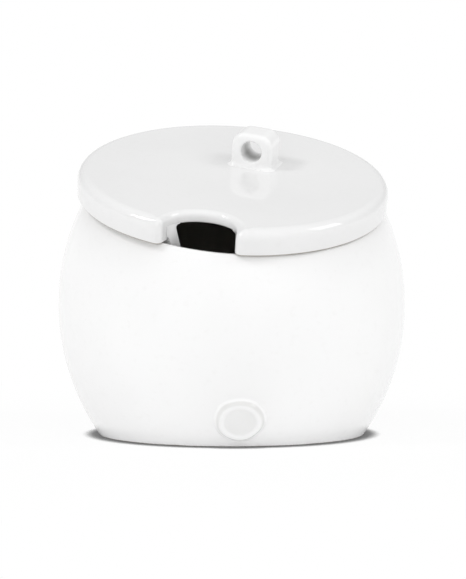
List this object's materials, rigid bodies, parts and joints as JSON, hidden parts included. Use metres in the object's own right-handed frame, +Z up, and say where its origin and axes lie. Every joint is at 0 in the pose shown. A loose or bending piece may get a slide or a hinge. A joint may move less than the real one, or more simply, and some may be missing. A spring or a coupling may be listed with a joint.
{
  "type": "honey pot",
  "caption": "Squat barrel-shaped ceramic honey pot with a slanted mouth, a loose round lid with a spoon notch and a lifting loop, and a plain round seal on its front.",
  "frame": {"origin": "middle of the foot, on the table", "axes": "+Z up along the pot's axis; the mouth slopes down towards the front, -Y; +X to the right"},
  "size_m": [0.104, 0.1055, 0.0934],
  "materials": {
    "pot_glaze": "gloss",
    "seal_glaze": "gloss",
    "lid_glaze": "gloss",
    "loop_glaze": "gloss"
  },
  "bodies": {
    "pot": {"pot_body": "pot_glaze", "front_seal": "seal_glaze"},
    "lid": {"lid_plate": "lid_glaze", "lid_flange": "lid_glaze", "lid_loop": "loop_glaze"}
  },
  "joints": [
    {"name": "lid_lift", "type": "slide", "parent": "pot", "child": "lid", "axis": [0, -0.3584, 0.9336], "range_m": [0, 0.1]}
  ]
}
